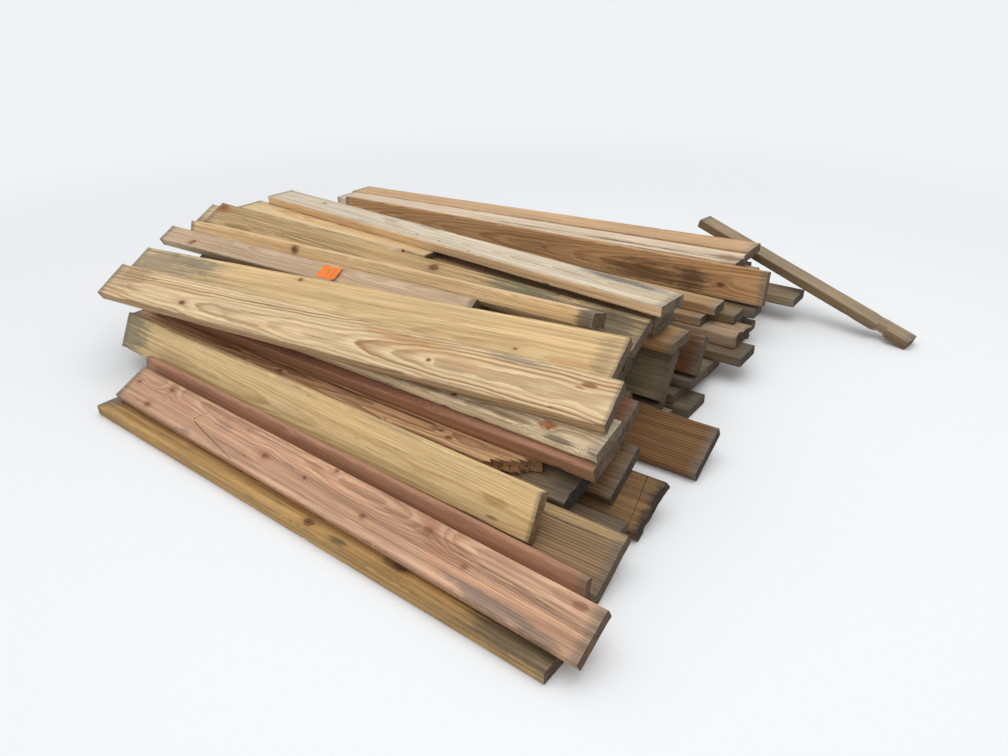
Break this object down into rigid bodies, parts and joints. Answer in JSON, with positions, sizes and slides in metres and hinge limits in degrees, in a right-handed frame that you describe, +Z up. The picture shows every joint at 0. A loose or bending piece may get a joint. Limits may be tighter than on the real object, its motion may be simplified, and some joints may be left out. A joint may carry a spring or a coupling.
{
  "type": "lumber stack",
  "caption": "Loose heap of weathered sawn boards, laid flat, tilted and on edge over one another, with a small bent card tag on one board.",
  "frame": {"origin": "middle of the box around the heap, at ground level", "axes": "+X along the boards to the right end as seen from the front, +Y across the heap from its front to its back, +Z up"},
  "size_m": [3.117, 2.4194, 0.4623],
  "materials": {
    "brown_fir": "rough, weathered",
    "dark_weathered_fir": "rough, weathered",
    "grey_fir": "rough, weathered",
    "olive_grey_fir": "rough, weathered",
    "orange_card": "matte card",
    "pinkish_fir": "rough, weathered",
    "red_brown_fir": "rough, weathered",
    "yellow_fir": "rough, weathered"
  },
  "bodies": {
    "root": {"back_beam_board": "brown_fir", "back_edge_board": "red_brown_fir", "back_layer_boards": "brown_fir", "back_stack_board_1": "brown_fir", "back_stack_board_2": "brown_fir", "back_stack_board_3": "brown_fir", "back_top_board": "brown_fir", "beam_top_board": "brown_fir", "bright_board": "yellow_fir", "brown_edge_bearer": "brown_fir", "brown_edge_board": "red_brown_fir", "charred_board": "dark_weathered_fir", "deep_beam": "dark_weathered_fir", "end_block": "brown_fir", "far_layer_boards": "brown_fir", "first_top_board": "yellow_fir", "first_wide_board": "brown_fir", "front_batten": "olive_grey_fir", "front_board": "olive_grey_fir", "ground_boards": "brown_fir", "knotty_board": "yellow_fir", "lot_tag": "orange_card", "low_back_board": "brown_fir", "low_bearers": "brown_fir", "low_rear_board": "brown_fir", "middle_bearers": "brown_fir", "middle_board_1": "brown_fir", "middle_board_2": "brown_fir", "middle_board_3": "brown_fir", "middle_board_4": "brown_fir", "pink_board": "pinkish_fir", "pink_rough_board": "pinkish_fir", "rear_bearers": "brown_fir", "rear_board_1": "brown_fir", "rear_board_2": "brown_fir", "rear_board_3": "brown_fir", "rear_board_4": "brown_fir", "rear_stack_board_1": "brown_fir", "rear_stack_board_2": "brown_fir", "rear_stack_board_3": "brown_fir", "ridge_board": "brown_fir", "rotten_board": "brown_fir", "second_boards": "brown_fir", "second_top_board": "yellow_fir", "second_wide_board": "brown_fir", "splintered_board": "red_brown_fir", "stamped_board": "yellow_fir", "stick": "grey_fir", "tagged_board": "brown_fir", "thin_board": "pinkish_fir", "third_wide_board": "brown_fir", "top_board": "yellow_fir", "under_boards": "brown_fir", "valley_board": "brown_fir", "weathered_board": "grey_fir", "wedge_board": "brown_fir"}
  },
  "joints": []
}
